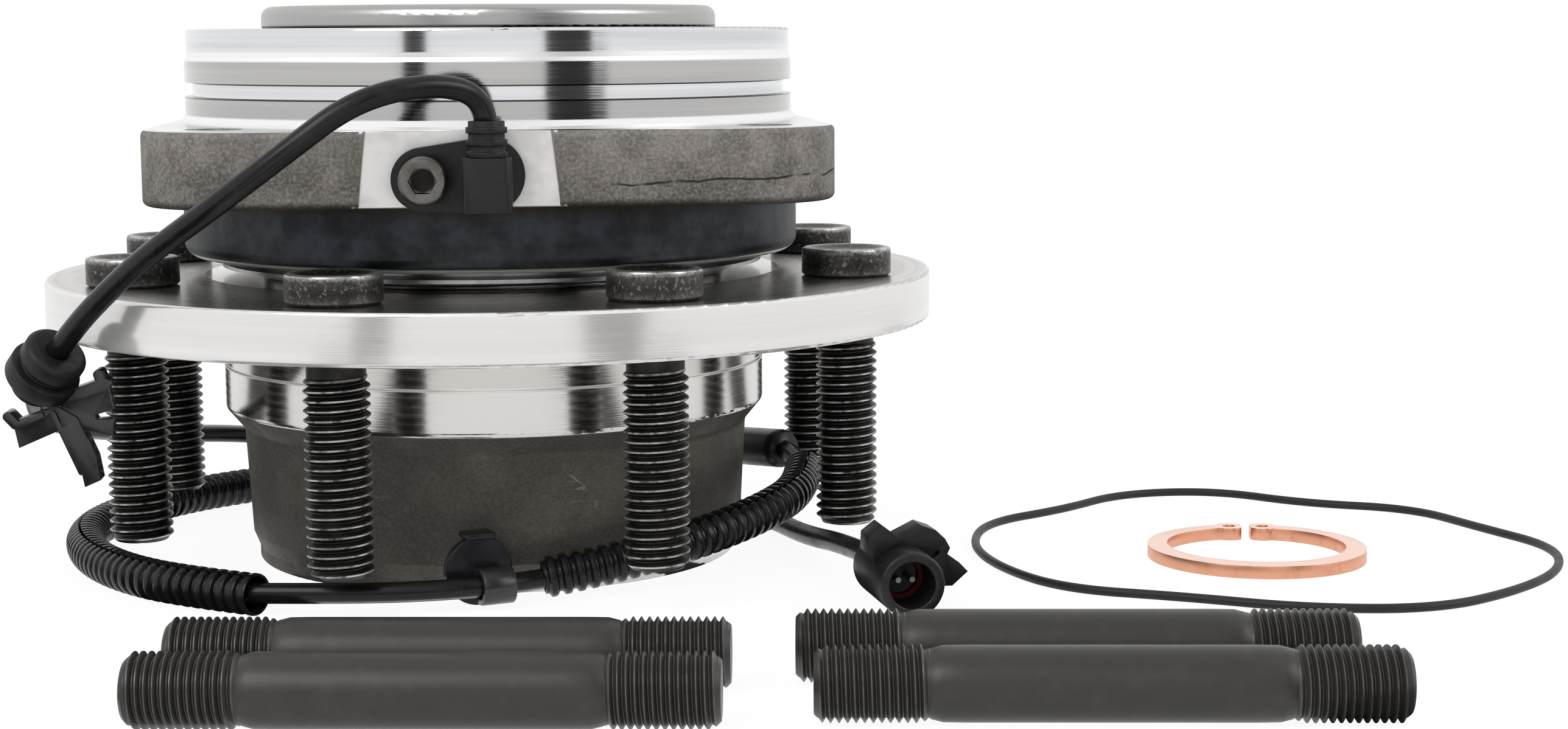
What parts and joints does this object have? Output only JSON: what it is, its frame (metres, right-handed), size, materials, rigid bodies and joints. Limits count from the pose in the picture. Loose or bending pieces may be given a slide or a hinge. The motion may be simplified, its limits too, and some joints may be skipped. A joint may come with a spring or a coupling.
{
  "type": "wheel hub bearing",
  "caption": "Wheel hub bearing unit with studded wheel flange, rounded square knuckle flange, speed sensor on a sleeved harness with clips and plug, and a loose fitting kit.",
  "frame": {"origin": "centre of the hub bore at the barrel's end face, on the surface the unit stands on", "axes": "+Z along the hub axis from the wheel side to the knuckle side, -Y towards the sensor"},
  "size_m": [0.3445, 0.2899, 0.1265],
  "materials": {
    "hub_forging": "forged and machined, matt",
    "stud_black": "black phosphate with worn crests",
    "bearing_steel": "ground",
    "cage_steel": "pressed sheet",
    "ring_steel": "turned and ground, with a dark hardened band",
    "seal_case_steel": "pressed sheet",
    "seal_rubber": "moulded",
    "sensor_plastic": "glass-filled moulding",
    "screw_zinc": "zinc flake",
    "lead_jacket": "extruded jacket",
    "conduit_plastic": "corrugated tube",
    "sleeve_plastic": "shrunk sleeve",
    "grommet_rubber": "moulded",
    "clip_plastic": "moulded",
    "plug_plastic": "moulded",
    "plug_seal_red": "silicone",
    "pin_metal": "plated",
    "o_ring_rubber": "moulded",
    "snap_ring_plated": "copper-coloured plating",
    "kit_stud_steel": "black, rolled threads"
  },
  "bodies": {
    "ring_assembly": {"outer_ring": "ring_steel", "mount_flange": "ring_steel", "seal_case_outboard": "seal_case_steel", "seal_case_inboard": "seal_case_steel", "seal_lip_outboard": "seal_rubber", "seal_lip_inboard": "seal_rubber", "sensor_body": "sensor_plastic", "sensor_probe": "sensor_plastic", "sensor_seal": "seal_rubber", "sensor_bush": "screw_zinc", "sensor_screw": "screw_zinc", "sensor_boot": "grommet_rubber", "sensor_lead": "lead_jacket", "lead_grommet": "grommet_rubber", "routing_clip": "clip_plastic", "rear_lead": "lead_jacket", "splice_sleeve": "sleeve_plastic", "sleeve_lead": "lead_jacket", "right_conduit": "conduit_plastic", "front_lead": "lead_jacket", "clip_button": "clip_plastic", "clip_strap": "clip_plastic", "left_conduit": "conduit_plastic", "plug_lead": "lead_jacket", "plug_housing": "plug_plastic", "plug_latch": "plug_plastic", "plug_seal": "plug_seal_red", "plug_pins": "pin_metal", "pilot_o_ring": "o_ring_rubber", "axle_snap_ring": "snap_ring_plated", "mounting_stud_1": "kit_stud_steel", "mounting_stud_2": "kit_stud_steel", "mounting_stud_3": "kit_stud_steel", "mounting_stud_4": "kit_stud_steel"},
    "hub": {"hub_spindle": "hub_forging", "wheel_flange": "hub_forging", "wheel_studs": "stud_black", "cone_outboard": "bearing_steel", "cone_inboard": "bearing_steel", "cone_spacer": "bearing_steel", "tone_ring": "bearing_steel", "slinger_outboard": "seal_case_steel", "slinger_inboard": "seal_case_steel", "axle_bush": "bearing_steel", "axle_needles": "bearing_steel"},
    "roller_set_outboard": {"cage_outboard": "cage_steel", "rollers_outboard": "bearing_steel"},
    "roller_set_inboard": {"cage_inboard": "cage_steel", "rollers_inboard": "bearing_steel"}
  },
  "joints": [
    {"name": "hub_spin", "type": "hinge", "parent": "ring_assembly", "child": "hub", "pos_m": [0, 0, 0.0945], "axis": [0, 0, 1], "continuous": true},
    {"name": "outboard_orbit", "type": "hinge", "parent": "ring_assembly", "child": "roller_set_outboard", "pos_m": [0, 0, 0.081], "axis": [0, 0, 1], "continuous": true},
    {"name": "inboard_orbit", "type": "hinge", "parent": "ring_assembly", "child": "roller_set_inboard", "pos_m": [0, 0, 0.108], "axis": [0, 0, 1], "continuous": true}
  ],
  "couplings": [
    {"joint": "outboard_orbit", "follows": "hub_spin", "ratio": 0.461},
    {"joint": "inboard_orbit", "follows": "hub_spin", "ratio": 0.461}
  ]
}
